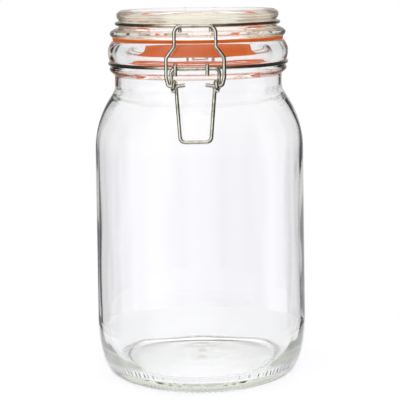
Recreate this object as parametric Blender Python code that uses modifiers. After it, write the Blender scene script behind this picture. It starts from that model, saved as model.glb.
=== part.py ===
"""Clip-top preserving jar: glass jar and lid, rubber seal and bent-wire clasp.

Blender script in metres, +Z up, the clasp towards -Y. Lengths below are written in
millimetres and scaled once, by MM.
"""

import math

import bpy
from mathutils import Vector

MM = 0.001
SEGMENTS = 48
WIRE_R = 1.05

# Jar, outside: rim, bead, wire groove, ridge, throat, shoulder, body, heel and foot
RIM_Z = 192.7
RIM_R = (43.6, 47.6)
BEAD_R, BEAD_Z = 51.1, 186.4
BEAD_EDGE_TOP = (48.7, 192.1)
BEAD_EDGE_LOW = (50.4, 181.6)
GROOVE_R, GROOVE_Z = 48.6, (180.6, 178.9)
RIDGE_R, RIDGE_Z, RIDGE_EDGE = 50.3, 176.6, (49.1, 1.8)
THROAT_R, THROAT_Z = 47.5, (173.4, 165.6)
SHOULDER_BEND, SHOULDER_TOP_Z = 53.6, 161.2
BODY_TOP = (59.5, 130.4)
BODY_LOW = (60.5, 31.0)
HEEL_IN = 9.0
FOOT_R = (47.0, 51.0)
PUSH_UP = (34.0, 2.6, 3.2)

# Jar, inside: floor, heel, wall, shoulder and mouth
FLOOR_Z, FLOOR_RISE, FLOOR_R = 6.4, 0.6, 44.5
INNER_LOW = (56.2, 33.0)
INNER_TOP = (55.2, 130.4)
INNER_BEND, INNER_TOP_Z = 42.8, 160.6
MOUTH_R, MOUTH_Z = 42.5, (167.0, 191.2)

# Lid: dished top, top flange, wire groove, lower flange, seat, locating ring, hollow
LID_DISH_R, LID_DISH_Z = 37.6, 207.6
LID_TOP_Z, LID_TOP_R = 209.4, (39.6, 43.4)
FLANGE_R, FLANGE_Z, FLANGE_LOW = 45.9, 206.9, (44.8, 204.0)
LID_GROOVE_R, LID_GROOVE_Z = 44.2, (203.2, 200.9)
EDGE_R, EDGE_Z, EDGE_TOP = 49.8, 196.6, (45.2, 199.9)
LID_SEAT_Z, LID_SEAT_R = 194.5, 48.6
LOCATOR_R, LOCATOR_Z = (32.9, 36.1), 186.2
HOLLOW_R, HOLLOW_Z = 32.4, (198.6, 202.0)

# Seal: a flat ring with a collar that hangs round the lid's locating ring
SEAL_Z = (193.0, 194.2)
SEAL_R = (36.4, 48.3)
COLLAR_R, COLLAR_Z = (38.4, 41.3), 185.2

# Hinge bar behind, lever pivot and eyes in front, as (y, z)
HINGE = (56.2, 181.5)
LEVER_PIVOT = (-55.0, 179.8)
BAIL_PIVOT = (-56.0, 170.7)
EYE_R = 2.6
EYE_X = (12.5, 10.2)

LID_WIRE_R, LID_WIRE_Z = 45.75, 202.1
LID_HOOK_X = (-8.0, 8.4)
LID_HOOK_TIP = (-49.3, 198.9)
HINGE_LEG_X = 9.0
NECK_WIRE_R, NECK_WIRE_Z = 50.05, 179.85
NECK_HOOK_X = (-10.4, 6.5)
HINGE_HOOK_X = 5.0

BAIL_TOP = (11.0, -50.95, 202.2)
BAIL_WIDE_X = 15.4
PIN_TIP_X = 5.4
LEVER_TOP_X = 12.9
HANDLE = (8.1, -60.6, 141.4)


def clear_scene():
    """Removes what the startup scene holds."""
    for obj in list(bpy.data.objects):
        bpy.data.objects.remove(obj, do_unlink=True)


def make_collection(name):
    """Adds a collection to the scene and returns it."""
    found = bpy.data.collections.new(name)
    bpy.context.scene.collection.children.link(found)
    return found


def make_material(name, color, metallic, roughness, transmission=0.0):
    """Returns a plain Principled material."""
    mat = bpy.data.materials.new(name)
    mat.use_nodes = True
    bsdf = mat.node_tree.nodes["Principled BSDF"]
    bsdf.inputs["Base Color"].default_value = (*color, 1.0)
    bsdf.inputs["Metallic"].default_value = metallic
    bsdf.inputs["Roughness"].default_value = roughness
    bsdf.inputs["Transmission Weight"].default_value = transmission
    return mat


def turned(name, profile, closed, collection, material):
    """Turns a profile of (radius, height) pairs about Z with a Screw modifier.

    The profile runs down its outer side, so that the surface faces out.
    """
    count = len(profile)
    ends = count if closed else count - 1
    mesh = bpy.data.meshes.new(name)
    mesh.from_pydata(
        [(r * MM, 0.0, z * MM) for r, z in profile],
        [(i, (i + 1) % count) for i in range(ends)],
        [],
    )
    obj = bpy.data.objects.new(name, mesh)
    collection.objects.link(obj)
    screw = obj.modifiers.new("turn", "SCREW")
    screw.axis = "Z"
    screw.angle = 2 * math.pi
    screw.steps = SEGMENTS
    screw.render_steps = SEGMENTS
    screw.use_merge_vertices = True
    screw.merge_threshold = 0.00001
    screw.use_smooth_shade = True
    mesh.materials.append(material)
    return obj


def wire(name, points, collection, material, origin=(0.0, 0.0)):
    """Makes a round wire through the points, its object origin at (0, y, z)."""
    curve = bpy.data.curves.new(name, "CURVE")
    curve.dimensions = "3D"
    curve.bevel_depth = WIRE_R * MM
    curve.bevel_resolution = 2
    curve.use_fill_caps = True
    spline = curve.splines.new("POLY")
    spline.points.add(len(points) - 1)
    place = Vector((0.0, origin[0] * MM, origin[1] * MM))
    for slot, point in zip(spline.points, points):
        slot.co = (*(Vector(point) * MM - place), 1.0)
    curve.materials.append(material)
    obj = bpy.data.objects.new(name, curve)
    obj.location = place
    collection.objects.link(obj)
    return obj


def bent(corners, steps=4):
    """Returns a path through corners of (x, y, z, bend radius), each bend an arc.

    A radius of 0 leaves the corner as a point.
    """
    path = []
    for i, (x, y, z, radius) in enumerate(corners):
        here = Vector((x, y, z))
        if radius == 0 or i in (0, len(corners) - 1):
            path.append(here)
            continue
        back = (Vector(corners[i - 1][:3]) - here).normalized()
        ahead = (Vector(corners[i + 1][:3]) - here).normalized()
        half = back.angle(ahead) / 2
        reach = radius / math.tan(half)
        middle = here + (back + ahead).normalized() * (radius / math.sin(half))
        first = here + back * reach - middle
        last = here + ahead * reach - middle
        turn = first.angle(last)
        for k in range(steps + 1):
            t = k / steps
            a = math.sin((1 - t) * turn) / math.sin(turn)
            b = math.sin(t * turn) / math.sin(turn)
            path.append(middle + first * a + last * b)
    return path


def ring_arc(radius, z, start, stop, steps):
    """Returns points of a level arc; angles in degrees, 0 at -Y, positive to +X."""
    points = []
    for k in range(steps + 1):
        a = math.radians(start + (stop - start) * k / steps)
        points.append(Vector((radius * math.sin(a), -radius * math.cos(a), z)))
    return points


def flipped(corners):
    """Returns corners for bent() mirrored across the YZ plane, in reverse order."""
    return [(-x, y, z, radius) for x, y, z, radius in reversed(corners)]


def mirrored(points):
    """Returns the points mirrored across the YZ plane, in reverse order."""
    return [Vector((-p.x, p.y, p.z)) for p in reversed(points)]


def bulge(top, middle, low, above, below):
    """Returns a rounded edge through top, middle and low, each (radius, height).

    The radius falls off with the square of the distance from the middle.
    """
    points = []
    for end, steps, sign in ((top, above, -1), (low, below, 1)):
        part = []
        for k in range(steps + 1):
            t = k / steps
            drop = (middle[0] - end[0]) * t * t
            part.append((middle[0] - drop, middle[1] + (end[1] - middle[1]) * t))
        points += part[::-1] if sign < 0 else part[1:]
    return points


def shoulder(side, bend, z_end, steps):
    """Returns an arc that leaves the upright side at side and climbs to z_end."""
    points = []
    for k in range(1, steps + 1):
        rise = (z_end - side[1]) * k / steps
        points.append((side[0] - bend + math.sqrt(bend**2 - rise**2), side[1] + rise))
    return points


def quarter(side, inward, down, steps):
    """Returns a quarter ellipse from the upright side at side down and inward."""
    points = []
    for k in range(1, steps + 1):
        a = math.pi / 2 * k / steps
        radius = side[0] - inward * (1 - math.cos(a))
        points.append((radius, side[1] - down * math.sin(a)))
    return points


def jar_outside():
    """The outer side from the rim down to the foot, as (radius, height)."""
    ridge_r, half = RIDGE_EDGE
    ridge_top = (ridge_r, RIDGE_Z + half)
    ridge_low = (ridge_r, RIDGE_Z - half)
    points = [(RIM_R[1], RIM_Z)]
    points += bulge(BEAD_EDGE_TOP, (BEAD_R, BEAD_Z), BEAD_EDGE_LOW, 4, 3)
    points += [(GROOVE_R, z) for z in GROOVE_Z]
    points += bulge(ridge_top, (RIDGE_R, RIDGE_Z), ridge_low, 1, 1)
    points += [(THROAT_R, z) for z in THROAT_Z]
    points.append((THROAT_R + 0.9, THROAT_Z[1] - 2.4))
    points += shoulder(BODY_TOP, SHOULDER_BEND, SHOULDER_TOP_Z, 7)[::-1]
    points += [BODY_TOP, BODY_LOW]
    points += quarter(BODY_LOW, HEEL_IN, BODY_LOW[1] - 0.6, 6)
    points.append((FOOT_R[1], 0.0))
    return points


def jar_inside():
    """The inner side from the middle of the floor up to the mouth."""
    low = quarter(INNER_LOW, INNER_LOW[0] - FLOOR_R, INNER_LOW[1] - FLOOR_Z, 6)
    points = [(0.0, FLOOR_Z + FLOOR_RISE)] + low[::-1] + [INNER_LOW, INNER_TOP]
    points += shoulder(INNER_TOP, INNER_BEND, INNER_TOP_Z, 6)
    points += [(MOUTH_R + 0.4, MOUTH_Z[0]), (MOUTH_R, MOUTH_Z[0] + 6.0)]
    points += [(MOUTH_R, MOUTH_Z[1]), (RIM_R[0], RIM_Z)]
    return points


def build_jar(collection, glass):
    """The jar, hollow, on a flat contact ring round a shallow push-up."""
    push_r, push_z, push_mid = PUSH_UP
    underside = [(FOOT_R[0], 0.0), (FOOT_R[0] - 2.5, 1.4), (push_r, push_z)]
    profile = jar_outside() + underside + [(0.0, push_mid)] + jar_inside()
    return turned("jar_glass", profile, True, collection, glass)


def build_lid(collection, glass):
    """The lid, from the middle of its top out and down, then back underneath."""
    profile = [(0.0, LID_DISH_Z), (LID_DISH_R, LID_DISH_Z)]
    profile += [(LID_DISH_R + 1.2, LID_TOP_Z - 0.4), (LID_TOP_R[0], LID_TOP_Z)]
    top = (LID_TOP_R[1], LID_TOP_Z)
    profile += bulge(top, (FLANGE_R, FLANGE_Z), FLANGE_LOW, 3, 2)
    profile += [(LID_GROOVE_R, z) for z in LID_GROOVE_Z]
    profile += bulge(EDGE_TOP, (EDGE_R, EDGE_Z), (LID_SEAT_R, LID_SEAT_Z), 4, 2)
    inner, outer = LOCATOR_R
    profile += [(outer + 0.5, LID_SEAT_Z), (outer, LID_SEAT_Z - 0.5)]
    profile += [(outer, LOCATOR_Z + 0.6), (outer - 0.6, LOCATOR_Z), (inner, LOCATOR_Z)]
    profile.append((HOLLOW_R, HOLLOW_Z[0]))
    profile += [(HOLLOW_R - 3.4, HOLLOW_Z[1] - 0.8), (0.0, HOLLOW_Z[1])]
    return turned("lid_glass", profile, False, collection, glass)


def build_seal(collection, rubber):
    """The rubber ring between lid and rim, with its collar."""
    low, high = SEAL_Z
    r_in, r_out = SEAL_R
    edge = 0.4
    profile = [
        (r_in + edge, high), (r_out - edge, high), (r_out, high - edge),
        (r_out, low + edge), (r_out - edge, low), (COLLAR_R[1], low),
        (COLLAR_R[0], COLLAR_Z + edge), (COLLAR_R[0] - edge, COLLAR_Z),
        (r_in + edge, COLLAR_Z), (r_in, COLLAR_Z + edge), (r_in, high - edge),
    ]
    return turned("seal_ring", profile, True, collection, rubber)


def lid_hook(x):
    """One free end of the lid wire: out of the groove and down, tip first."""
    out = -math.sqrt(LID_WIRE_R**2 - x**2)
    return bent(
        [
            (x, *LID_HOOK_TIP, 0),
            (x, LID_HOOK_TIP[0] + 0.95, LID_WIRE_Z + 0.3, 1.5),
            (x, out - 0.4, LID_WIRE_Z, 1.2),
            (x + math.copysign(2.4, x), out + 0.5, LID_WIRE_Z, 0),
        ],
        3,
    )


def lid_hinge_loop():
    """The back of the lid wire, left to right: down, the hinge bar, and up."""
    y, z = HINGE
    x = -HINGE_LEG_X
    left = math.sqrt(LID_WIRE_R**2 - x**2)
    half = [
        (x - 1.8, left - 0.6, LID_WIRE_Z, 0),
        (x, left + 0.4, LID_WIRE_Z, 1.2),
        (x, y - 4.2, LID_WIRE_Z - 0.9, 2.4),
        (x, y, z + 5.0, 3.0),
        (x, y, z, 2.2),
    ]
    return bent(half + flipped(half), 3)


def build_lid_wire(collection, steel):
    """Wire in the lid's groove: two hooks in front, the hinge bar behind."""
    start = math.degrees(math.asin((abs(LID_HOOK_X[0]) + 4.0) / LID_WIRE_R))
    stop = 180 - math.degrees(math.asin(13.0 / LID_WIRE_R))
    right_start = math.degrees(math.asin((LID_HOOK_X[1] + 4.0) / LID_WIRE_R))
    left = ring_arc(LID_WIRE_R, LID_WIRE_Z, -start, -stop, 17)
    right = ring_arc(LID_WIRE_R, LID_WIRE_Z, stop, right_start, 17)
    path = lid_hook(LID_HOOK_X[0]) + left + lid_hinge_loop() + right
    path += list(reversed(lid_hook(LID_HOOK_X[1])))
    return wire("lid_wire", path, collection, steel, HINGE)


def neck_hook(x):
    """One free end of the neck wire, an upturned hook over the lever, tip first."""
    y, z = LEVER_PIVOT
    gap = 2 * WIRE_R + 0.35
    out = -math.sqrt(NECK_WIRE_R**2 - x**2)
    return bent(
        [
            (x, y - gap, z - 3.6, 0),
            (x, y - gap, z + gap, 2.4),
            (x, y + gap, z + gap, 1.75),
            (x, y + gap, NECK_WIRE_Z, 0.6),
            (x, out - 0.4, NECK_WIRE_Z, 0.6),
            (x + math.copysign(2.2, x), out + 0.3, NECK_WIRE_Z, 0),
        ],
        4,
    )


def neck_hinge_hook():
    """The back of the neck wire, left to right: a flat hook round the hinge bar."""
    y, z = HINGE
    gap = 2 * WIRE_R + 0.35
    x = -HINGE_HOOK_X
    left = math.sqrt(NECK_WIRE_R**2 - x**2)
    half = [
        (x - 2.4, left - 0.5, NECK_WIRE_Z, 0),
        (x, left + 0.6, NECK_WIRE_Z, 1.2),
        (x, y - 1.0, z - gap, 1.0),
        (x, y + gap, z - gap, 2.3),
        (x, y + gap, z + gap, 2.3),
        (x, y - gap, z + gap, 1.3),
    ]
    return bent(half + flipped(half), 3)


def build_neck_wire(collection, steel):
    """Wire in the groove under the bead: hooks in front, hinge hook behind."""
    start = math.degrees(math.asin((abs(NECK_HOOK_X[0]) + 3.6) / NECK_WIRE_R))
    right_start = math.degrees(math.asin((NECK_HOOK_X[1] + 3.6) / NECK_WIRE_R))
    stop = 180 - math.degrees(math.asin(9.4 / NECK_WIRE_R))
    left = ring_arc(NECK_WIRE_R, NECK_WIRE_Z, -start, -stop, 17)
    right = ring_arc(NECK_WIRE_R, NECK_WIRE_Z, stop, right_start, 17)
    path = neck_hook(NECK_HOOK_X[0]) + left + neck_hinge_hook() + right
    path += list(reversed(neck_hook(NECK_HOOK_X[1])))
    return wire("neck_wire", path, collection, steel)


def lever_half():
    """Left half of the lever, from its top bar through the eye to the handle."""
    y, z = LEVER_PIVOT
    eye_y, eye_z = BAIL_PIVOT
    x_in, x_out = EYE_X[1], EYE_X[0]
    top = bent(
        [(0, y, z, 0), (-LEVER_TOP_X, y, z, 2.4), (-x_out, eye_y + EYE_R, eye_z + 1.0, 0)]
    )[1:-1]
    eye = []
    turns = 14
    for k in range(turns + 1):
        a = 2 * math.pi * k / turns
        x = -(x_out + (x_in - x_out) * k / turns)
        eye.append(
            Vector((x, eye_y + EYE_R * math.cos(a), eye_z - EYE_R * math.sin(a)))
        )
    handle = bent(
        [
            (-x_in, eye_y + EYE_R, eye_z, 0),
            (-x_in + 0.1, eye_y + EYE_R - 0.4, eye_z - 4.0, 6.0),
            (-HANDLE[0], *HANDLE[1:], 2.8),
            (0, *HANDLE[1:], 0),
        ]
    )[1:-1]
    return top + eye + handle


def closed_wire(name, points, collection, material, origin):
    """Makes a round wire that runs round through all the points and closes."""
    obj = wire(name, points, collection, material, origin)
    obj.data.splines[0].use_cyclic_u = True
    obj.data.use_fill_caps = False
    return obj


def build_lever(collection, steel):
    """One wire: pivot bar, two legs, two one-turn eyes and the handle."""
    left = lever_half()
    path = left + mirrored(left)
    return closed_wire("lever", path, collection, steel, LEVER_PIVOT)


def bail_half():
    """Left half of the bail, from the pin's tip to the middle of its top bar."""
    y, z = BAIL_PIVOT
    top_x, top_y, top_z = BAIL_TOP
    return bent(
        [
            (-PIN_TIP_X, y, z + 0.6, 0),
            (-9.2, y, z, 3.0),
            (-14.25, y, z, 1.7),
            (-BAIL_WIDE_X, y + 1.6, z + 4.4, 4.0),
            (-BAIL_WIDE_X, top_y - 1.95, top_z - 16.8, 2.4),
            (-top_x, top_y - 1.15, top_z - 10.8, 2.4),
            (-top_x, top_y, top_z, 3.9),
            (0, top_y, top_z, 0),
        ],
        4,
    )[:-1]


def build_bail(collection, steel):
    """The loop that holds the lid down, its ends turned in through the eyes."""
    left = bail_half()
    return wire("bail", left + mirrored(left), collection, steel, BAIL_PIVOT)


def main():
    clear_scene()
    parts = make_collection("clip_top_jar")
    glass = make_material("clear_glass", (0.96, 0.98, 0.97), 0.0, 0.02, 1.0)
    lid_glass = make_material("lid_clear_glass", (0.95, 0.98, 0.95), 0.0, 0.02, 1.0)
    rubber = make_material("orange_rubber", (0.78, 0.2, 0.05), 0.0, 0.55)
    steel = make_material("bright_wire", (0.62, 0.62, 0.6), 1.0, 0.25)
    lever_steel = make_material("lever_wire", (0.62, 0.62, 0.6), 1.0, 0.25)
    bail_steel = make_material("bail_wire", (0.62, 0.62, 0.6), 1.0, 0.25)
    lid_steel = make_material("lid_wire_steel", (0.62, 0.62, 0.6), 1.0, 0.25)
    build_jar(parts, glass)
    build_lid(parts, lid_glass)
    build_seal(parts, rubber)
    build_neck_wire(parts, steel)
    build_lid_wire(parts, lid_steel)
    build_lever(parts, lever_steel)
    build_bail(parts, bail_steel)


if __name__ == "__main__":
    main()
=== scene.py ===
"""Looks of an empty clip-top preserving jar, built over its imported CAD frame.

Clear pressed glass, an orange rubber seal and a bright bent-wire clasp, on a plain pale
floor in soft studio light. Lengths in the classes are millimetres, scaled once by MM.
"""

import logging
import math
from dataclasses import dataclass
from enum import Enum
from typing import List, Optional, Sequence, Tuple

import bmesh
import bpy
from mathutils import Matrix, Vector


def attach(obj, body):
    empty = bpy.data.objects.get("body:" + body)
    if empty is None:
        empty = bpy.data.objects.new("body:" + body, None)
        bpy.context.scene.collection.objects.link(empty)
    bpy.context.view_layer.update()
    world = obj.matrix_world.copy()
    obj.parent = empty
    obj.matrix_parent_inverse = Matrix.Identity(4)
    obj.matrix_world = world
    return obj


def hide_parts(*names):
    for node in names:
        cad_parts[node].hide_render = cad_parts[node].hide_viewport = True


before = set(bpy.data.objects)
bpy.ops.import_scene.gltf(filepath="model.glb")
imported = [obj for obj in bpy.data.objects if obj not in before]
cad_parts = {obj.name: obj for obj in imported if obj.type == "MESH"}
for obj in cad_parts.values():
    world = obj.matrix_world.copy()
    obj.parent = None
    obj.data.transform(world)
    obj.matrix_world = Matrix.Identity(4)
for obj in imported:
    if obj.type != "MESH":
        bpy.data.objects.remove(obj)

MM = 0.001
LOG = logging.getLogger("jar")

Pair = Tuple[float, float]
Triple = Tuple[float, float, float]
Color = Tuple[float, float, float]
Corner = Tuple[float, float, float, float]
Stops = Sequence[Tuple[float, float]]
Place = Sequence[float]
Obj = bpy.types.Object
Socket = bpy.types.NodeSocket


class Body(Enum):
    """The moving bodies of the frame."""

    JAR = "jar"
    LID = "lid"
    LEVER = "lever"
    BAIL = "bail"


class Slot(Enum):
    """The record's material slots."""

    JAR_GLASS = "jar_glass"
    LID_GLASS = "lid_glass"
    SEAL = "seal_rubber"
    STEEL = "wire_steel"


# -------- bench tools


class Bench:
    """Hand tools: each one is a short run of Blender operators on one object."""

    SEED = 0.002  # size in metres of the square that a piece's first vertex is merged from

    @staticmethod
    def clear() -> None:
        """Leaves edit mode and deselects everything."""
        if bpy.context.object is not None and bpy.context.object.mode != "OBJECT":
            bpy.ops.object.mode_set(mode="OBJECT")
        bpy.ops.object.select_all(action="DESELECT")

    @staticmethod
    def point(name: str, place: Place) -> Obj:
        """Starts a piece as one vertex and stays in edit mode.

        Args:
            name: name of the piece.
            place: the vertex, in metres.

        Returns:
            The new object, in edit mode, with its vertex selected.
        """
        Bench.clear()
        bpy.ops.mesh.primitive_plane_add(size=Bench.SEED, location=(0.0, 0.0, 0.0))
        obj = bpy.context.object
        obj.name = obj.data.name = name
        bpy.ops.object.mode_set(mode="EDIT")
        bpy.ops.mesh.select_all(action="SELECT")
        bpy.ops.mesh.merge(type="CENTER")
        bpy.ops.transform.translate(value=tuple(place))
        return obj

    @staticmethod
    def run(start: Place, stops: Sequence[Place]) -> None:
        """Extrudes the selected vertex along straight stretches.

        Args:
            start: where the selected vertex is, in metres.
            stops: the points to reach one after the other, in metres.
        """
        here = Vector(start)
        for there in map(Vector, stops):
            bpy.ops.mesh.extrude_region_move(
                TRANSFORM_OT_translate={"value": tuple(there - here)}
            )
            here = there

    @staticmethod
    def sweep(centre: Place, axis: Place, angle: float, steps: int) -> None:
        """Spins the selected vertex into an arc and leaves the arc's end selected.

        Args:
            centre: middle of the arc, in metres.
            axis: the axis that it turns about.
            angle: how far it turns, in radians; spin counts it the other way round.
            steps: number of edges in the arc.
        """
        bpy.ops.mesh.spin(
            steps=steps, angle=-angle, center=tuple(centre), axis=tuple(axis),
            use_auto_merge=False,
        )

    @staticmethod
    def close_ring(obj: Obj) -> None:
        """Joins the two loose ends of a line.

        Args:
            obj: the line, in edit mode.
        """
        bpy.ops.mesh.select_all(action="SELECT")
        shape = bmesh.from_edit_mesh(obj.data)
        for vertex in shape.verts:
            vertex.select = len(vertex.link_edges) == 1
        shape.select_flush_mode()
        bmesh.update_edit_mesh(obj.data)
        bpy.ops.mesh.edge_face_add()

    @staticmethod
    def close_up(merge: float = 1e-6) -> None:
        """Merges doubles, turns all faces outward and leaves edit mode.

        Args:
            merge: distance below which vertices become one, in metres.
        """
        bpy.ops.mesh.select_all(action="SELECT")
        bpy.ops.mesh.remove_doubles(threshold=merge)
        bpy.ops.mesh.normals_make_consistent(inside=False)
        bpy.ops.object.mode_set(mode="OBJECT")


# -------- profiles


class Profile:
    """Outline of a turned piece, drawn as (radius, height) points in millimetres."""

    ROOM = 0.98  # share of a straight that a rounding may use up
    REPEAT = 0.02  # distance under which a point counts as the one before
    WAVES = 2.5  # ripples between the middle and the wall

    def __init__(self) -> None:
        """Starts an empty outline."""
        self.points: List[Pair] = []

    def at(self, *points: Pair) -> "Profile":
        """Adds plain points."""
        self.points.extend(points)
        return self

    def corner(self, place: Pair, ahead: Pair, radius: float, steps: int = 5) -> "Profile":
        """Adds a rounded corner between the last point and the one ahead.

        Args:
            place: where the corner would be if it were sharp.
            ahead: the next point of the outline, for its direction only.
            radius: radius of the rounding.
            steps: edges in the rounding.

        Returns:
            This outline.
        """
        here = Vector(place)
        back = (Vector(self.points[-1]) - here).normalized()
        on = (Vector(ahead) - here).normalized()
        half = back.angle(on) / 2
        reach = radius / math.tan(half)
        room = min((Vector(self.points[-1]) - here).length, (Vector(ahead) - here).length)
        if reach > room * self.ROOM:
            radius *= room * self.ROOM / reach
            reach = room * self.ROOM
        middle = here + (back + on).normalized() * (radius / math.sin(half))
        first, last = here + back * reach - middle, here + on * reach - middle
        turn = first.angle(last)
        for k in range(steps + 1):
            t = k / steps
            a = math.sin((1 - t) * turn) / math.sin(turn)
            b = math.sin(t * turn) / math.sin(turn)
            spot = middle + first * a + last * b
            self.points.append((spot.x, spot.y))
        return self

    def bulge(self, top: Pair, middle: Pair, low: Pair, above: int, below: int) -> "Profile":
        """Adds a rounded edge whose radius falls off from its middle.

        Args:
            top: where the edge starts.
            middle: its widest point.
            low: where it ends.
            above: steps from top to middle.
            below: steps from middle to low.

        Returns:
            This outline.
        """
        ends = [(top, 1 - k / above) for k in range(above + 1)]
        ends += [(low, k / below) for k in range(1, below + 1)]
        for end, t in ends:
            radius = middle[0] - (middle[0] - end[0]) * t * t
            self.points.append((radius, middle[1] + (end[1] - middle[1]) * t))
        return self

    def shoulder(self, side: Pair, bend: float, z_end: float, steps: int, up: bool) -> "Profile":
        """Adds an arc that leaves an upright side.

        Args:
            side: top of the upright side.
            bend: radius of the arc.
            z_end: height at which the arc ends.
            steps: edges in the arc.
            up: whether the outline climbs here; otherwise it comes down.

        Returns:
            This outline.
        """
        arc = []
        for k in range(steps + 1):
            rise = (z_end - side[1]) * k / steps
            arc.append((side[0] - bend + math.sqrt(bend**2 - rise**2), side[1] + rise))
        self.points.extend(arc if up else arc[::-1])
        return self

    def quarter(self, side: Pair, inward: float, down: float, steps: int, up: bool) -> "Profile":
        """Adds a quarter ellipse between an upright side and a level floor.

        Args:
            side: foot of the upright side.
            inward: how far it comes in.
            down: how far it goes down.
            steps: edges in the curve.
            up: whether the outline climbs here; otherwise it comes down.

        Returns:
            This outline.
        """
        arc = []
        for k in range(steps + 1):
            a = math.pi / 2 * k / steps
            arc.append((side[0] - inward * (1 - math.cos(a)), side[1] - down * math.sin(a)))
        self.points.extend(arc[::-1] if up else arc)
        return self

    def ripples(self, reach: float, level: float, height: float, steps: int) -> "Profile":
        """Adds soft concentric waves on a level face, from the axis outward.

        Args:
            reach: the last radius.
            level: height of the face.
            height: height of a wave.
            steps: number of points.

        Returns:
            This outline.
        """
        for k in range(1, steps):
            t = k / steps
            wave = math.sin(t * 2 * self.WAVES * math.pi) * math.sin(t * math.pi)
            self.points.append((reach * t, level + height * wave))
        return self

    def clean(self) -> List[Pair]:
        """Drops points that repeat the one before.

        Returns:
            The points that are left.
        """
        kept: List[Pair] = []
        for point in self.points:
            if not kept or math.dist(point, kept[-1]) > self.REPEAT:
                kept.append(point)
        return kept

    def turn(self, name: str, segments: int) -> Obj:
        """Draws the outline by extruding a vertex and turns it about the jar's axis.

        Args:
            name: name of the piece.
            segments: faces around.

        Returns:
            The closed, smooth-shaded piece.
        """
        places = [(r * MM, 0.0, z * MM) for r, z in self.clean()]
        obj = Bench.point(name, places[0])
        Bench.run(places[0], places[1:])
        if places[0][0] > 0.0:
            Bench.close_ring(obj)
        bpy.ops.object.mode_set(mode="OBJECT")
        bpy.ops.object.modifier_add(type="SCREW")
        lathe = obj.modifiers[-1]
        lathe.steps = lathe.render_steps = segments
        lathe.use_merge_vertices = True
        lathe.merge_threshold = 0.000001
        bpy.ops.object.modifier_apply(modifier=lathe.name)
        bpy.ops.object.mode_set(mode="EDIT")
        Bench.close_up()
        bpy.ops.object.shade_smooth()
        return obj


# -------- bent wire


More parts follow.
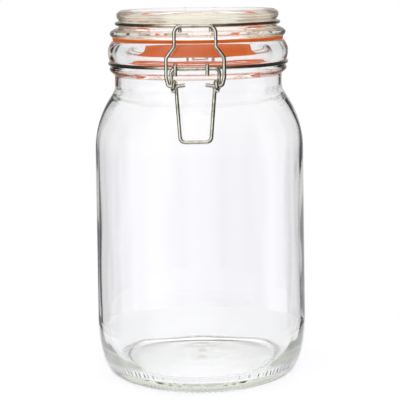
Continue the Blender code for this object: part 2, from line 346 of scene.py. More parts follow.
class WirePath:
    """Centre line of a bent wire, laid out with straights, bends and level arcs."""

    STRAIGHT = 0.002  # a corner turning by less than twice this, in radians, is straight
    NEAR = 0.00005  # stretch, in metres, that is too short to draw
    BEND_STEP = 9  # degrees per edge of a bend
    ARC_STEP = 1.5  # degrees per edge of an arc about the jar
    CUT_INSET, CUT_RISE = 0.3, 0.22  # bevel of a cut end, as shares of the wire's radius
    JOIN, WELD = 0.00002, 0.000005  # merging distances in metres: centre line, finished wire
    SMOOTH = math.radians(40)  # edges that turn by less are shaded smooth

    def __init__(self, name: str, first: Place) -> None:
        """Starts the wire at its first end.

        Args:
            name: name of the piece.
            first: the first end, in millimetres.
        """
        self.here = Vector(first) * MM
        self.behind = self.here.copy()
        self.obj = Bench.point(name, self.here)

    def straight(self, *stops: Place) -> "WirePath":
        """Runs straight from stop to stop.

        Args:
            stops: the points to reach, in millimetres.

        Returns:
            This path, at the last stop.
        """
        places = [Vector(stop) * MM for stop in stops]
        Bench.run(self.here, places)
        self.here = places[-1]
        self.behind = self.here.copy()
        return self

    def bend(self, place: Place, ahead: Place, radius: float) -> "WirePath":
        """Runs to a corner and round it.

        Args:
            place: where the corner would be if it were sharp, in millimetres.
            ahead: the next corner, for its direction only.
            radius: bend radius of the centre line, in millimetres.

        Returns:
            This path, at the end of the bend.
        """
        corner = Vector(place) * MM
        back = (self.behind - corner).normalized()
        on = (Vector(ahead) * MM - corner).normalized()
        half = back.angle(on) / 2
        if math.pi / 2 - half < self.STRAIGHT:
            return self.straight(place)
        reach = radius * MM / math.tan(half)
        middle = corner + (back + on).normalized() * (radius * MM / math.sin(half))
        start = corner + back * reach
        if (start - self.here).length > self.NEAR:
            Bench.run(self.here, [start])
        angle = math.pi - 2 * half
        axis = (start - middle).cross(corner - middle).normalized()
        steps = max(3, round(math.degrees(angle) / self.BEND_STEP))
        Bench.sweep(middle, axis, angle, steps)
        self.here = corner + on * reach
        self.behind = corner
        return self

    def follow(self, corners: Sequence[Corner]) -> "WirePath":
        """Runs through corners of (x, y, z, bend radius); the last is only reached.

        Args:
            corners: the corners after the point where the wire now is.

        Returns:
            This path, at the last corner.
        """
        for now, ahead in zip(corners, corners[1:]):
            if now[3] == 0:
                self.straight(now[:3])
            else:
                self.bend(now[:3], ahead[:3], now[3])
        return self.straight(corners[-1][:3])

    def level_arc(self, stop: float) -> "WirePath":
        """Turns about the jar's axis from here to an angle.

        Args:
            stop: end of the arc in degrees, 0 at the front and positive to the right.

        Returns:
            This path, at the end of the arc.
        """
        radius = math.hypot(self.here.x, self.here.y)
        start = math.degrees(math.atan2(self.here.x, -self.here.y))
        angle = math.radians(stop - start)
        steps = max(3, round(abs(stop - start) / self.ARC_STEP))
        Bench.sweep((0, 0, 0), (0, 0, 1), angle, steps)
        a = math.radians(stop)
        self.here = Vector((radius * math.sin(a), -radius * math.cos(a), self.here.z))
        self.behind = self.here.copy()
        return self

    def draw(self, radius: float) -> Obj:
        """Gives the centre line its thickness and finishes the cut ends.

        Args:
            radius: radius of the wire, in millimetres.

        Returns:
            The finished wire, a closed mesh.
        """
        Bench.close_up(self.JOIN)
        bpy.ops.object.convert(target="CURVE")
        obj = bpy.context.object
        obj.data.bevel_depth = radius * MM
        obj.data.bevel_resolution = 6
        obj.data.use_fill_caps = True
        bpy.ops.object.convert(target="MESH")
        obj = bpy.context.object
        bpy.ops.object.mode_set(mode="EDIT")
        self.round_cut_ends(obj, radius)
        Bench.close_up(self.WELD)
        bpy.ops.object.shade_smooth_by_angle(angle=self.SMOOTH)
        return obj

    def round_cut_ends(self, obj: Obj, radius: float) -> None:
        """Breaks the sharp edge of each cut end with a small bevel.

        Args:
            obj: the wire's mesh, in edit mode.
            radius: radius of the wire, in millimetres.
        """
        bpy.ops.mesh.select_all(action="SELECT")
        bpy.ops.mesh.remove_doubles(threshold=self.WELD)
        bpy.ops.mesh.select_all(action="DESELECT")
        shape = bmesh.from_edit_mesh(obj.data)
        caps = [face for face in shape.faces if len(face.verts) > 6]
        for face in caps:
            face.select_set(True)
        bmesh.update_edit_mesh(obj.data)
        if caps:
            bpy.ops.mesh.inset(thickness=radius * self.CUT_INSET * MM, use_even_offset=True)
            shape = bmesh.from_edit_mesh(obj.data)
            for face in [f for f in shape.faces if f.select]:
                push = face.normal * radius * self.CUT_RISE * MM
                for vertex in face.verts:
                    vertex.co += push
            bmesh.update_edit_mesh(obj.data)


def flipped(corners: Sequence[Corner]) -> List[Corner]:
    """Returns the corners mirrored left to right, in reverse order."""
    return [(-x, y, z, radius) for x, y, z, radius in reversed(corners)]


# -------- finishes


class Nodes:
    """A short-hand for laying out shader nodes."""

    def __init__(self, tree: bpy.types.NodeTree) -> None:
        """Keeps the tree that it works on."""
        self.tree = tree

    def put(self, slot: Socket, value: object) -> None:
        """Fills one input.

        Args:
            slot: the input.
            value: a socket, a number or a colour; None leaves the input as it is.
        """
        if isinstance(value, Socket):
            self.tree.links.new(value, slot)
        elif value is not None:
            slot.default_value = value

    def add(self, kind: str, values: dict = None, **settings: object) -> bpy.types.Node:
        """Adds a node.

        Args:
            kind: Blender's name of the node type, without its ShaderNode prefix.
            values: what its inputs get, by their names or numbers.
            settings: its properties.

        Returns:
            The node.
        """
        node = self.tree.nodes.new("ShaderNode" + kind)
        for key, value in settings.items():
            setattr(node, key, value)
        for key, value in (values or {}).items():
            self.put(node.inputs[key], value)
        return node

    def feed(self, node: bpy.types.Node, *values: object) -> Socket:
        """Fills a node's first inputs in their order.

        Args:
            node: the node.
            values: what they get.

        Returns:
            The node's first output.
        """
        for slot, value in zip(node.inputs, values):
            self.put(slot, value)
        return node.outputs[0]

    def math(self, kind: str, first: object, second: object = None) -> Socket:
        """Adds a Math node of one kind over sockets or numbers and returns its result."""
        return self.feed(self.add("Math", operation=kind), first, second)

    def mix(self, share: object, first: object, second: object, kind: str = "MIX") -> Socket:
        """Adds a node that mixes two colours, or multiplies them, and returns its result."""
        return self.feed(self.add("MixRGB", blend_type=kind), share, first, second)

    def ramp(self, factor: Socket, stops: Sequence[Tuple[float, Color]]) -> Socket:
        """Adds a Color Ramp.

        Args:
            factor: its input.
            stops: (position, colour) pairs.

        Returns:
            Its colour socket.
        """
        node = self.add("ValToRGB")
        line = node.color_ramp
        while len(line.elements) < len(stops):
            line.elements.new(0.5)
        for element, (place, color) in zip(line.elements, stops):
            element.position = place
            element.color = (*color, 1.0)
        return self.feed(node, factor)

    def shades(self, factor: Socket, stops: Stops, tone: Color = (1.0, 1.0, 1.0)) -> Socket:
        """Adds a Color Ramp of (position, brightness) stops over a tone; returns its colour."""
        return self.ramp(factor, [(place, tuple(v * part for part in tone)) for place, v in stops])

    def noise(self, place: Socket, scale: float, detail: float, rough: float = 0.5) -> Socket:
        """Adds a Noise Texture and returns its value's socket."""
        values = {"Scale": scale, "Detail": detail, "Roughness": rough}
        return self.feed(self.add("TexNoise", values), place)

    def span(self, value: Socket, first: Pair, last: Pair) -> Socket:
        """Adds a Map Range from the first range to the last and returns its result."""
        return self.feed(self.add("MapRange"), value, *first, *last)

    def relief(self, height: Socket, strength: float, depth: float,
               over: Optional[Socket] = None) -> Socket:
        """Adds a Bump, its depth in metres, over another one if given; returns its normal."""
        values = {"Strength": strength, "Distance": depth, "Height": height, "Normal": over}
        return self.add("Bump", values).outputs[0]


class Finish(Nodes):
    """A material under way, with its main shader and the object coordinates at hand."""

    def __init__(self, name: str) -> None:
        """Starts a material.

        Args:
            name: its name.
        """
        self.material = bpy.data.materials.new(name)
        self.material.use_nodes = True
        super().__init__(self.material.node_tree)
        self.shader = self.tree.nodes["Principled BSDF"]
        self.place = self.add("TexCoord").outputs["Object"]

    def give(self, values: dict) -> None:
        """Fills inputs of the main shader by their names."""
        for key, value in values.items():
            self.put(self.shader.inputs[key], value)


@dataclass(frozen=True)
class ClearGlass:
    """Clear soda-lime glass with a faint tint in its depth and slightly uneven faces."""

    name: str
    tint: Color = (0.78, 0.80, 0.74)
    depth: float = 20.0
    wave: float = 0.8
    wave_scale: float = 38.0
    wave_long: float = 0.35
    film: float = 0.004
    stipple: float = 0.0
    stipple_count: float = 144.0
    stipple_z: Pair = (0.0025, 0.0045)

    def make(self) -> bpy.types.Material:
        """Lays out the nodes.

        Returns:
            The material.
        """
        look = Finish(self.name)
        smear = look.noise(look.place, 55.0, 3.0, 0.6)
        long = look.feed(look.add("Mapping", {"Scale": (1.0, 1.0, self.wave_long)}), look.place)
        swell = look.noise(long, self.wave_scale, 1.0, 0.4)
        face = look.relief(swell, self.wave, 0.001)
        if self.stipple:
            face = self.stippled(look, face)
        look.give({
            "Base Color": (1.0, 1.0, 1.0, 1.0), "Transmission Weight": 1.0, "IOR": 1.5,
            "Roughness": look.span(smear, (0.45, 0.8), (0.0, self.film)), "Normal": face,
        })
        inner = look.add("VolumeAbsorption", {"Color": (*self.tint, 1.0), "Density": self.depth})
        look.put(look.tree.nodes["Material Output"].inputs["Volume"], inner.outputs[0])
        return look.material

    def stippled(self, look: Finish, face: Socket) -> Socket:
        """Adds the fine knurl under the foot and the push-up.

        Args:
            look: the material.
            face: the relief that it comes on top of.

        Returns:
            The relief with both.
        """
        way = look.add("SeparateXYZ", {0: look.place})
        turn = look.math("ARCTAN2", way.outputs["X"], way.outputs["Y"])
        comb = look.math("SINE", look.math("MULTIPLY", turn, self.stipple_count))
        low = look.span(way.outputs["Z"], self.stipple_z, (1.0, 0.0))
        return look.relief(look.math("MULTIPLY", comb, low), 1.0, self.stipple, face)


@dataclass(frozen=True)
class SoftRubber:
    """Matt orange rubber with fine grain, paler places and a painted orange glow that stands in
    for light coming through it.
    """

    name: str
    color: Color = (0.90, 0.16, 0.02)
    pale: Color = (0.93, 0.22, 0.035)
    # painted glow: colour and strength of light that the rubber gives off itself, standing in for
    # light coming through it
    painted_glow_color: Color = (1.0, 0.14, 0.0)
    through: float = 0.22
    shine: float = 0.2
    rough: Pair = (0.42, 0.6)

    def make(self) -> bpy.types.Material:
        """Lays out the nodes.

        Returns:
            The material.
        """
        look = Finish(self.name)
        cloud = look.noise(look.place, 90.0, 4.0, 0.6)
        grain = look.noise(look.place, 2600.0, 2.0)
        look.give({
            "IOR": 1.5, "Specular IOR Level": self.shine,
            "Base Color": look.ramp(cloud, [(0.35, self.color), (0.7, self.pale)]),
            # painted glow: orange emission that brightens the rubber as if light came through it
            "Emission Color": (*self.painted_glow_color, 1.0), "Emission Strength": self.through,
            "Roughness": look.span(cloud, (0.3, 0.7), self.rough),
            "Normal": look.relief(grain, 0.25, 0.0002),
        })
        return look.material


@dataclass(frozen=True)
class BrightWire:
    """Drawn steel wire, bright, with fine lines and a little dullness."""

    name: str
    color: Color = (0.74, 0.72, 0.63)
    dull: Color = (0.36, 0.35, 0.27)
    rough: Pair = (0.30, 0.12)

    def make(self) -> bpy.types.Material:
        """Lays out the nodes.

        Returns:
            The material.
        """
        look = Finish(self.name)
        cloud = look.noise(look.place, 240.0, 5.0, 0.65)
        lines = look.noise(look.place, 1800.0, 2.0)
        look.give({
            "Metallic": 1.0,
            "Base Color": look.ramp(cloud, [(0.3, self.dull), (0.55, self.color)]),
            "Roughness": look.span(cloud, (0.3, 0.7), self.rough),
            "Normal": look.relief(lines, 0.12, 0.0001),
        })
        return look.material


@dataclass(frozen=True)
class PaleFloor:
    """Smooth white table that gives light of its own, with a painted contact shadow: a little less
    light under the jar.
    """

    name: str
    color: Color = (0.925, 0.925, 0.955)
    dark: Color = (0.91, 0.91, 0.94)
    # own light under the jar's middle and away from it, and the radii where it rises: the dip is a
    # painted contact shadow
    glow: Pair = (0.62, 0.65)
    painted_shadow_r: Pair = (0.040, 0.064)

    def make(self) -> bpy.types.Material:
        """Lays out the nodes.

        Returns:
            The material.
        """
        look = Finish(self.name)
        cloud = look.noise(look.place, 9.0, 3.0)
        color = look.ramp(cloud, [(0.3, self.dark), (0.7, self.color)])
        away = look.add("VectorMath", {0: look.place}, operation="LENGTH")
        look.give({
            "Roughness": 0.9, "Specular IOR Level": 0.1,
            "Base Color": color, "Emission Color": color,
            # painted contact shadow: the table's own light is lower near the jar's axis
            "Emission Strength": look.span(away.outputs["Value"], self.painted_shadow_r, self.glow),
        })
        return look.material


# -------- glass and rubber


@dataclass
class Piece:
    """A visible piece: its name, the body it rides on, its slot and the node it stands for."""

    name: str = ""
    body: Body = Body.JAR
    slot: Slot = Slot.STEEL
    node: str = ""

    def form(self) -> Obj:
        """Returns the piece's finished mesh."""
        raise NotImplementedError

    def build(self, material: bpy.types.Material) -> None:
        """Forms the piece, dresses it and ties it to the frame.

        Args:
            material: its material.
        """
        obj, body, slot, node = self.form(), self.body, self.slot, self.node
        Bench.clear()
        obj.data.materials.append(material)
        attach(obj, body.value)
        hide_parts(node)
        triangles = sum(len(face.vertices) - 2 for face in obj.data.polygons)
        LOG.info("%s: %d triangles, rides on %s", obj.name, triangles, body.value)


@dataclass
class JarGlass(Piece):
    """The round jar: bead, wire groove, ridge, throat, shoulder, body, heel and foot."""

    name: str = "jar_clear_glass"
    slot: Slot = Slot.JAR_GLASS
    node: str = "jar_glass"
    rim_z: float = 192.7
    rim_r: Pair = (43.6, 47.6)
    bead: Pair = (51.1, 186.4)
    bead_top: Pair = (48.7, 192.1)
    bead_low: Pair = (50.4, 181.6)
    groove_r: float = 48.6
    groove_z: Pair = (180.6, 178.9)
    ridge: Pair = (50.3, 176.6)
    ridge_edge: Pair = (49.1, 1.8)
    throat_r: float = 47.5
    throat_z: Pair = (173.4, 165.6)
    throat_end: Pair = (49.1, 161.4)
    shoulder_bend: float = 53.6
    shoulder_z: float = 161.2
    body_top: Pair = (59.5, 130.4)
    body_low: Pair = (60.5, 31.0)
    heel: Pair = (9.0, 0.6)
    foot_r: Triple = (47.0, 49.0, 51.0)
    underside: Sequence[Pair] = ((44.5, 1.4), (42.0, 2.0), (34.0, 2.6), (17.0, 3.0), (0.0, 3.2))
    floor: Triple = (6.4, 0.6, 44.5)
    ripple: float = 0.16
    inner_low: Pair = (56.2, 33.0)
    inner_top: Pair = (55.2, 130.4)
    inner_bend: float = 42.8
    inner_z: float = 160.6
    mouth_r: Pair = (42.9, 42.5)
    mouth_z: Triple = (167.0, 173.0, 191.2)
    segments: int = 384
    teeth: int = 96
    tooth: float = 0.5
    teeth_r: Pair = (46.8, 51.6)
    teeth_z: float = 0.7

    def outline(self) -> Profile:
        """Draws the outside from the rim down, with the foot and the push-up.

        Returns:
            The outline so far.
        """
        shape = Profile().at((self.rim_r[1], self.rim_z))
        shape.bulge(self.bead_top, self.bead, self.bead_low, 12, 9)
        edge_r, half = self.ridge_edge
        z = self.ridge[1]
        groove = [(self.groove_r, z) for z in self.groove_z]
        shape.corner(groove[0], groove[1], 0.5, 3).corner(groove[1], (edge_r, z + half), 0.4, 3)
        shape.bulge((edge_r, z + half), self.ridge, (edge_r, z - half), 5, 5)
        throat = [(self.throat_r, z) for z in self.throat_z]
        shape.corner(throat[0], throat[1], 1.2, 4).corner(throat[1], self.throat_end, 3.5, 5)
        shape.shoulder(self.body_top, self.shoulder_bend, self.shoulder_z, 20, False)
        inward, heel_z = self.heel
        shape.at(self.body_low)
        shape.quarter(self.body_low, inward, self.body_low[1] - heel_z, 20, False)
        foot = [(r, 0.0) for r in self.foot_r]
        shape.corner(foot[2], foot[0], 0.5, 3).at(foot[1])
        shape.corner(foot[0], self.underside[0], 0.6, 3).at(*self.underside)
        return shape

    def inside(self, shape: Profile) -> Profile:
        """Adds the inside, from the floor's middle to the rim.

        Args:
            shape: the outline of the outside.

        Returns:
            The whole outline.
        """
        level, rise, floor_r = self.floor
        shape.at((0.0, level + rise))
        shape.ripples(floor_r, level + rise * 0.6, self.ripple, 34)
        inward = self.inner_low[0] - floor_r
        shape.quarter(self.inner_low, inward, self.inner_low[1] - level, 22, True)
        shape.shoulder(self.inner_top, self.inner_bend, self.inner_z, 20, True)
        low, mid, high = self.mouth_z
        throat, mouth = self.mouth_r
        shape.corner((throat, low), (mouth, mid), 6.0, 6).at((mouth, mid))
        shape.corner((mouth, high), (self.rim_r[0], self.rim_z), 0.8, 4)
        shape.corner((self.rim_r[0], self.rim_z), (self.rim_r[1], self.rim_z), 0.6, 3)
        return shape

    def form(self) -> Obj:
        """Turns the jar and cuts the fine teeth of its foot.

        Returns:
            The jar.
        """
        jar = self.inside(self.outline()).turn(self.name, self.segments)
        self.cut_teeth(jar)
        return jar

    def cut_teeth(self, jar: Obj) -> None:
        """Lifts every other pair of lines of the foot ring, which leaves the teeth standing.

        Args:
            jar: the turned jar.
        """
        bpy.ops.object.mode_set(mode="EDIT")
        bpy.ops.mesh.select_all(action="DESELECT")
        shape = bmesh.from_edit_mesh(jar.data)
        per_tooth = self.segments // self.teeth
        low, high = (r * MM for r in self.teeth_r)
        for vertex in shape.verts:
            radius = math.hypot(vertex.co.x, vertex.co.y)
            turn = math.atan2(vertex.co.y, vertex.co.x) / (2 * math.pi) * self.segments
            between = round(turn) % per_tooth < per_tooth // 2
            vertex.select = vertex.co.z < self.teeth_z * MM and low < radius < high and between
        shape.select_flush_mode()
        bmesh.update_edit_mesh(jar.data)
        bpy.ops.transform.translate(value=(0.0, 0.0, self.tooth * MM))
        bpy.ops.object.mode_set(mode="OBJECT")


@dataclass
class LidGlass(Piece):
    """The thick pressed lid: dished top, two flanges, wire groove, hollow underside."""

    name: str = "lid_clear_glass"
    body: Body = Body.LID
    slot: Slot = Slot.LID_GLASS
    node: str = "lid_glass"
    dish: Pair = (37.6, 207.6)
    dish_r: Triple = (0.0, 12.0, 24.0)
    top_z: float = 209.4
    top_r: Pair = (39.6, 43.4)
    flange: Pair = (45.9, 206.9)
    flange_low: Pair = (44.8, 204.0)
    groove_r: float = 44.2
    groove_z: Pair = (203.2, 200.9)
    edge: Pair = (49.8, 196.6)
    edge_top: Pair = (45.2, 199.9)
    seat_z: float = 194.5
    seat_r: float = 48.6
    locator_r: Pair = (32.9, 36.1)
    locator_z: float = 186.2
    hollow: Sequence[Pair] = ((32.4, 198.6), (29.0, 201.2), (29.0, 201.6))
    hollow_z: float = 202.0
    hollow_r: Triple = (20.0, 14.0, 0.0)
    segments: int = 288

    def outline(self) -> Profile:
        """Draws the lid from the middle of its top out, down and back.

        Returns:
            The outline.
        """
        shape = Profile().at(*((r, self.dish[1]) for r in self.dish_r))
        top = [(r, self.top_z) for r in self.top_r]
        shape.corner(self.dish, top[0], 1.6).corner(top[0], top[1], 1.2)
        shape.bulge(top[1], self.flange, self.flange_low, 10, 7)
        groove = [(self.groove_r, z) for z in self.groove_z]
        shape.corner(groove[0], groove[1], 0.6, 3).corner(groove[1], self.edge_top, 0.7, 4)
        shape.bulge(self.edge_top, self.edge, (self.seat_r, self.seat_z), 12, 6)
        inner, outer = self.locator_r
        shape.corner((outer, self.seat_z), (outer, self.locator_z), 0.4, 3)
        shape.corner((outer, self.locator_z), (inner, self.locator_z), 0.7)
        wall, slope, edge = self.hollow
        roof = [(r, self.hollow_z) for r in self.hollow_r]
        shape.corner((inner, self.locator_z), wall, 0.7).corner(wall, slope, 2.0)
        return shape.corner(edge, roof[0], 2.5).at(*roof[1:])

    def form(self) -> Obj:
        """Turns the lid."""
        return self.outline().turn(self.name, self.segments)


@dataclass
class SealRing(Piece):
    """The rubber ring, pressed onto the rim, with a collar round the lid's locating ring."""

    name: str = "seal_orange_rubber"
    body: Body = Body.LID
    slot: Slot = Slot.SEAL
    node: str = "seal_ring"
    z: Pair = (192.68, 194.42)
    r: Pair = (36.15, 48.3)
    collar: Triple = (38.4, 41.3, 185.2)
    edge: float = 0.45
    start_r: float = 38.15
    segments: int = 288

    def form(self) -> Obj:
        """Turns the ring, with all its edges rounded.

        Returns:
            The ring with its collar.
        """
        low, high = self.z
        r_in, r_out = self.r
        foot, root, down = self.collar
        flat = [(r_in, high), (r_out, high), (r_out, low)]
        corners = flat + [(root, low), (foot, down), (r_in, down)]
        shape = Profile().at((self.start_r, high))
        for corner, ahead in zip(corners[1:] + corners[:1], corners[2:] + corners[:2]):
            shape.corner(corner, ahead, self.edge, 4)
        return shape.turn(self.name, self.segments)


# -------- the clasp


@dataclass
class WireWork(Piece):
    """Sizes that the four wires share."""

    radius: float = 1.05
    hinge: Pair = (56.2, 181.5)
    lever_pivot: Pair = (-55.0, 179.8)
    bail_pivot: Pair = (-56.0, 170.7)


@dataclass
class RingWire(WireWork):
    """A wire in a groove: a hook on each side in front, and a loop behind."""

    ring_r: float = 50.0
    z: float = 180.0
    hook_x: Pair = (-10.0, 10.0)
    hook_room: float = 3.6
    loop_room: float = 9.4

    def groove_y(self, x: float) -> float:
        """Returns how far the ring is from the jar's middle plane at x."""
        return math.sqrt(self.ring_r**2 - x**2)

    def rim(self, angle: float) -> Corner:
        """Returns a point of the ring; the angle in degrees, 0 in front."""
        a = math.radians(angle)
        return (self.ring_r * math.sin(a), -self.ring_r * math.cos(a), self.z, 0)

    def angle(self, x: float) -> float:
        """Returns the ring's angle in degrees at x, on its front half."""
        return math.degrees(math.asin(x / self.ring_r))

    def hook(self, x: float) -> List[Corner]:
        """Returns the corners of one hook, from its tip to the groove."""
        raise NotImplementedError

    def loop_half(self) -> List[Corner]:
        """Returns the corners of the left half of the loop behind."""
        raise NotImplementedError

    def form(self) -> Obj:
        """Bends the wire from the left hook round the back to the right hook.

        Returns:
            The wire.
        """
        left, right = self.hook_x
        stop = 180 - self.angle(self.loop_room)
        hook, half = self.hook(left), self.loop_half()
        path = WirePath(self.name, hook[0][:3])
        path.follow(hook[1:] + [self.rim(-self.angle(abs(left) + self.hook_room))])
        path.level_arc(-stop).follow(half + flipped(half) + [self.rim(stop)])
        path.level_arc(self.angle(right + self.hook_room)).follow(self.hook(right)[::-1])
        return path.draw(self.radius)


@dataclass
class LidWire(RingWire):
    """Wire in the lid's groove: two hooks in front, the hinge bar behind."""

    name: str = "lid_wire_steel"
    body: Body = Body.LID
    node: str = "lid_wire"
    ring_r: float = 45.75
    z: float = 202.1
    hook_x: Pair = (-8.0, 8.4)
    hook_room: float = 4.0
    loop_room: float = 13.0
    hook_tip: Pair = (-49.3, 198.9)
    leg_x: float = 9.0

    def hook(self, x: float) -> List[Corner]:
        """Lays out one hook.

        Args:
            x: how far it is to the right.

        Returns:
            Its corners, from its tip to the groove.
        """
        out = -self.groove_y(x)
        side = math.copysign(2.4, x)
        return [
            (x, *self.hook_tip, 0),
            (x, self.hook_tip[0] + 0.95, self.z + 0.3, 1.5),
            (x, out - 0.4, self.z, 1.2),
            (x + side, out + 0.5, self.z, 0),
        ]

    def loop_half(self) -> List[Corner]:
        """Lays out the left half of the hinge bar and its leg.

        Returns:
            Its corners, from the groove to the bar.
        """
        y, z = self.hinge
        x = -self.leg_x
        left = self.groove_y(x)
        return [
            (x - 1.8, left - 0.6, self.z, 0),
            (x, left + 0.4, self.z, 1.2),
            (x, y - 4.2, self.z - 0.9, 2.4),
            (x, y, z + 5.0, 3.0),
            (x, y, z, 2.2),
        ]


@dataclass
class NeckWire(RingWire):
    """Wire in the groove under the bead: lever hooks in front, hinge hook behind."""

    name: str = "neck_wire_steel"
    node: str = "neck_wire"
    ring_r: float = 50.05
    z: float = 179.85
    hook_x: Pair = (-10.4, 6.5)
    hinge_x: float = 5.0
    play: float = 0.35

    def hook(self, x: float) -> List[Corner]:
        """Lays out one hook over the lever.

        Args:
            x: how far it is to the right.

        Returns:
            Its corners, from its tip to the groove.
        """
        y, z = self.lever_pivot
        gap = 2 * self.radius + self.play
        out = -self.groove_y(x)
        side = math.copysign(2.2, x)
        return [
            (x, y - gap, z - 3.6, 0),
            (x, y - gap, z + gap, 2.4),
            (x, y + gap, z + gap, 1.75),
            (x, y + gap, self.z, 0.6),
            (x, out - 0.4, self.z, 0.6),
            (x + side, out + 0.3, self.z, 0),
        ]

    def loop_half(self) -> List[Corner]:
        """Lays out the left half of the hook behind.

        Returns:
            Its corners, from the groove to the hook's bar.
        """
        y, z = self.hinge
        gap = 2 * self.radius + self.play
        x = -self.hinge_x
        left = self.groove_y(x)
        return [
            (x - 2.4, left - 0.5, self.z, 0),
            (x, left + 0.6, self.z, 1.2),
            (x, y - 1.0, z - gap, 1.0),
            (x, y + gap, z - gap, 2.3),
            (x, y + gap, z + gap, 2.3),
            (x, y - gap, z + gap, 1.3),
        ]


@dataclass
class Lever(WireWork):
    """One wire: pivot bar, two legs, two one-turn eyes and the handle."""

    name: str = "lever_wire_steel"
    body: Body = Body.LEVER
    node: str = "lever"
    top_x: float = 12.9
    top_bend: float = 2.4
    eye_r: float = 2.6
    eye_x: Pair = (12.5, 10.2)
    handle: Triple = (8.1, -60.6, 141.4)
    eye_steps: int = 36

    def eye(self, side: float) -> List[Triple]:
        """Lays out one eye.

        Args:
            side: -1 for the left eye, 1 for the right one.

        Returns:
            Its points, from the leg above to the leg below.
        """
        y, z = self.bail_pivot
        outer, inner = self.eye_x
        points = []
        for k in range(self.eye_steps + 1):
            t = k / self.eye_steps
            a = 2 * math.pi * t
            x = side * (outer + (inner - outer) * t)
            points.append((x, y + self.eye_r * math.cos(a), z - self.eye_r * math.sin(a)))
        return points

    def form(self) -> Obj:
        """Bends the wire, down its left side and up its right one.

        Returns:
            The lever.
        """
        y, z = self.lever_pivot
        eye_y, eye_z = self.bail_pivot
        outer, inner = self.eye_x
        hip = (-inner + 0.1, eye_y + self.eye_r - 0.4, eye_z - 4.0, 6.0)
        foot = (-self.handle[0], *self.handle[1:], 2.8)
        path = WirePath(self.name, (0.0, y, z))
        path.bend((-self.top_x, y, z), (-outer, eye_y + self.eye_r, eye_z + 1.0), self.top_bend)
        path.straight(*self.eye(-1.0))
        handle = [hip, foot, *flipped([hip, foot]), (inner, eye_y + self.eye_r, eye_z, 0.0)]
        for now, ahead in zip(handle, handle[1:]):
            path.bend(now[:3], ahead[:3], now[3])
        path.straight(*reversed(self.eye(1.0)))
        path.bend((self.top_x, y, z), (0.0, y, z), self.top_bend)
        Bench.close_ring(path.obj)
        return path.draw(self.radius)


@dataclass
class Bail(WireWork):
    """The loop that holds the lid down, its ends turned in through the eyes."""

    name: str = "bail_wire_steel"
    body: Body = Body.BAIL
    node: str = "bail"
    top: Triple = (11.0, -50.95, 202.2)
    wide_x: float = 15.4
    pin_x: float = 5.4

    def half(self) -> List[Corner]:
        """Lays out the left half.

        Returns:
            Its corners, from the pin's tip to the top bar.
        """
        y, z = self.bail_pivot
        top_x, top_y, top_z = self.top
        return [
            (-self.pin_x, y, z + 0.6, 0),
            (-9.2, y, z, 3.0),
            (-14.25, y, z, 1.7),
            (-self.wide_x, y + 1.6, z + 4.4, 4.0),
            (-self.wide_x, top_y - 1.95, top_z - 16.8, 2.4),
            (-top_x, top_y - 1.15, top_z - 10.8, 2.4),
            (-top_x, top_y, top_z, 3.9),
        ]

    def form(self) -> Obj:
        """Bends the wire from one pin to the other."""
        half = self.half()
        return WirePath(self.name, half[0][:3]).follow(half[1:] + flipped(half)).draw(self.radius)


# -------- the studio


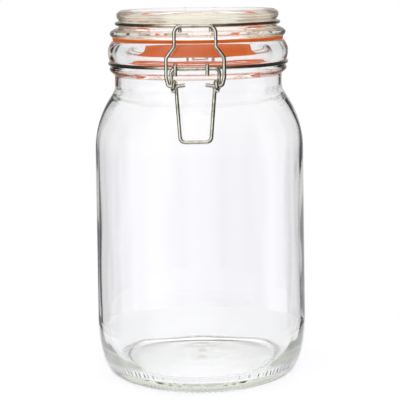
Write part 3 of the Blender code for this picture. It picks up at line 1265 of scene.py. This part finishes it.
@dataclass
class Studio:
    """White surround that shows white to the camera and shades the glass at its edges."""

    white: float = 1.0
    fill: float = 0.37
    clear_tone: Color = (1.0, 0.99, 1.04)
    edge_tone: Color = (1.0, 1.0, 1.02)
    clear_stops: Stops = (
        (0.0, 0.97), (0.12, 0.8), (0.20, 0.6), (0.27, 0.9), (0.37, 0.99), (0.40, 1.09),
        (0.44, 1.09), (0.465, 1.02), (0.535, 1.02), (0.56, 1.09), (0.60, 1.09), (0.63, 0.99),
        (0.73, 0.9), (0.80, 0.6), (0.88, 0.8), (1.0, 0.97),
    )
    edge_stops: Stops = (
        (0.0, 0.85), (0.10, 0.85), (0.125, 0.08), (0.235, 0.08), (0.28, 0.8),
        (0.64, 0.95), (0.675, 0.25), (0.735, 0.25), (0.77, 0.85), (1.0, 0.85),
    )
    front_stops: Stops = (
        (0.0, 0.35), (0.15, 0.4), (0.3, 1.0), (0.7, 1.0), (0.85, 0.4), (1.0, 0.35),
    )
    steel_round: Stops = (
        (0.0, 0.9), (0.03, 1.25), (0.13, 1.25), (0.19, 0.05), (0.40, 0.04), (0.46, 0.5),
        (0.54, 0.5), (0.60, 0.04), (0.88, 0.05), (0.95, 0.5), (1.0, 0.9),
    )
    steel_up: Stops = (
        (0.0, 0.1), (0.31, 0.05), (0.38, 0.9), (0.5, 1.0), (0.78, 1.15), (0.9, 0.6), (1.0, 0.6),
    )
    up_stops: Stops = ((0.0, 1.0), (0.5, 1.0), (0.60, 1.0), (0.75, 1.6), (1.0, 1.8))
    level_stops: Stops = (
        (0.0, 0.0), (0.35, 0.0), (0.39, 1.0), (0.45, 1.0), (0.50, 0.4), (0.58, 0.1), (1.0, 0.0),
    )
    pattern_repeats: float = 4.0
    mirror_depth: float = 2.5
    table: float = 0.13
    lamp_place: Triple = (0.0, -0.1, 1.6)
    lamp_size: float = 1.6
    lamp_power: float = 3.0

    def build(self) -> None:
        """Makes the world: shades for glass and for steel, plain white for all other rays."""
        world = bpy.data.worlds.new("studio")
        bpy.context.scene.world = world
        world.use_nodes = True
        world.node_tree.nodes.clear()
        nodes = Nodes(world.node_tree)
        way = nodes.add("SeparateXYZ", {0: nodes.add("TexCoord").outputs["Generated"]})
        azimuth = nodes.math("ARCTAN2", way.outputs["X"], way.outputs["Y"])
        around = nodes.math("ADD", nodes.math("DIVIDE", azimuth, 2 * math.pi), 0.5)
        height = nodes.math("ARCSINE", way.outputs["Z"])
        upward = nodes.math("ADD", nodes.math("DIVIDE", height, math.pi), 0.5)
        rays = nodes.add("LightPath").outputs
        bounced = nodes.math("GREATER_THAN", rays["Glossy Depth"], 0.5)
        shallow = nodes.math("LESS_THAN", rays["Transmission Depth"], self.mirror_depth)
        outside = nodes.math("LESS_THAN", rays["Transmission Depth"], 0.5)
        mirrored = nodes.math("MULTIPLY", bounced, shallow)
        shade = self.glass_shade(nodes, around, upward, mirrored)
        glass = nodes.feed(nodes.add("Background"), shade)
        turn, rise = nodes.shades(around, self.steel_round), nodes.shades(upward, self.steel_up)
        steel = nodes.feed(nodes.add("Background"), nodes.mix(1.0, turn, rise, "MULTIPLY"))
        first = nodes.math("MULTIPLY", bounced, outside)
        last = nodes.feed(nodes.add("MixShader"), first, glass, steel)
        for kind, strength in (("Is Camera Ray", self.white), ("Is Diffuse Ray", self.fill)):
            plain = nodes.feed(nodes.add("Background"), (1, 1, 1, 1), strength)
            last = nodes.feed(nodes.add("MixShader"), rays[kind], last, plain)
        world.cycles.sampling_method = "NONE"
        nodes.add("OutputWorld", {"Surface": last})

    def glass_shade(self, nodes: Nodes, around: Socket, upward: Socket,
                    mirrored: Socket) -> Socket:
        """Lays out what rays that come out of the glass see.

        Args:
            nodes: the world's nodes.
            around: direction round the jar, 0 to 1 from the front.
            upward: direction up, 0 to 1 from straight down.
            mirrored: 1 for rays that the glass has mirrored.

        Returns:
            The colour.
        """
        turns = nodes.math("MULTIPLY", around, self.pattern_repeats)
        quarter = nodes.math("FRACT", nodes.math("ADD", turns, 0.5))
        clear = nodes.shades(quarter, self.clear_stops, self.clear_tone)
        sharp = nodes.shades(quarter, self.edge_stops, self.edge_tone)
        behind = nodes.shades(around, self.front_stops)
        edge = nodes.mix(1.0, sharp, behind, "MULTIPLY")
        ring = nodes.mix(mirrored, clear, edge)
        level = nodes.shades(upward, self.level_stops)
        sides = nodes.mix(level, (*self.edge_tone, 1.0), ring)
        return nodes.mix(1.0, sides, nodes.shades(upward, self.up_stops), "MULTIPLY")

    def lamp(self) -> None:
        """Hangs one soft lamp over the jar."""
        Bench.clear()
        bpy.ops.object.light_add(type="AREA", location=self.lamp_place)
        lamp = bpy.context.object
        lamp.name = "top_soft"
        lamp.data.shape = "RECTANGLE"
        lamp.data.size = lamp.data.size_y = self.lamp_size
        lamp.data.energy = self.lamp_power
        lamp.rotation_euler = (-Vector(self.lamp_place)).to_track_quat("-Z", "Y").to_euler()

    def floor(self, finish: PaleFloor) -> None:
        """Lays the round table top.

        Args:
            finish: its finish.
        """
        Bench.clear()
        bpy.ops.mesh.primitive_circle_add(vertices=96, radius=self.table, fill_type="NGON")
        floor = bpy.context.object
        floor.name = "pale_floor"
        bpy.ops.object.mode_set(mode="EDIT")
        bpy.ops.mesh.select_all(action="SELECT")
        bpy.ops.mesh.inset(thickness=self.table * 0.5)
        bpy.ops.mesh.normals_make_consistent(inside=False)
        bpy.ops.object.mode_set(mode="OBJECT")
        floor.data.materials.append(finish.make())


@dataclass
class PhotoCamera:
    """The camera at the photograph's place, found by fitting the jar's outline."""

    distance: float = 0.760
    height: float = 0.231
    azimuth: float = 1.7
    pitch: float = 9.78
    roll: float = 0.83
    lens: float = 119.8
    shift_right: float = -0.00005

    def build(self) -> None:
        """Makes the camera."""
        turn, tip, lean = (math.radians(a) for a in (self.azimuth, self.pitch, self.roll))
        right = Vector((math.cos(turn), math.sin(turn), 0.0))
        ahead = Vector((-math.sin(turn), math.cos(turn), 0.0)) * math.cos(tip)
        ahead.z = -math.sin(tip)
        up = right.cross(ahead)
        place = Vector((math.sin(turn), -math.cos(turn), 0.0)) * self.distance
        place.z = self.height
        place += right * self.shift_right
        side = right * math.cos(lean) - up * math.sin(lean)
        top = right * math.sin(lean) + up * math.cos(lean)
        Bench.clear()
        bpy.ops.object.camera_add()
        camera = bpy.context.object
        turned = Matrix((side, top, -ahead)).transposed().to_4x4()
        camera.matrix_world = Matrix.Translation(place) @ turned
        camera.data.lens = self.lens
        camera.data.sensor_width = 36.0
        camera.data.clip_start = 0.05
        bpy.context.scene.camera = camera


def set_look() -> None:
    """Sets the view transform, the light paths for thick glass and the denoiser."""
    view, paths = bpy.context.scene.view_settings, bpy.context.scene.cycles
    view.view_transform = "Standard"
    view.look = "None"
    view.exposure = 0.0
    paths.max_bounces = paths.transmission_bounces = 24
    paths.glossy_bounces = 12
    paths.diffuse_bounces = 4
    paths.transparent_max_bounces = 8
    paths.use_denoising = True


def main() -> None:
    """Builds the jar, its studio and its camera."""
    logging.basicConfig(level=logging.INFO, format="%(name)s: %(message)s")
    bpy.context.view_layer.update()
    JarGlass().build(ClearGlass("jar_glass_clear", stipple=0.00006).make())
    LidGlass().build(ClearGlass("lid_glass_clear", tint=(0.93, 0.92, 0.83)).make())
    SealRing().build(SoftRubber("orange_rubber").make())
    steel = BrightWire("bright_steel_wire").make()
    for wire in (NeckWire(), LidWire(), Lever(), Bail()):
        wire.build(steel)
    studio = Studio()
    studio.build()
    studio.floor(PaleFloor("pale_floor_finish"))
    studio.lamp()
    PhotoCamera().build()
    set_look()


if __name__ == "__main__":
    main()
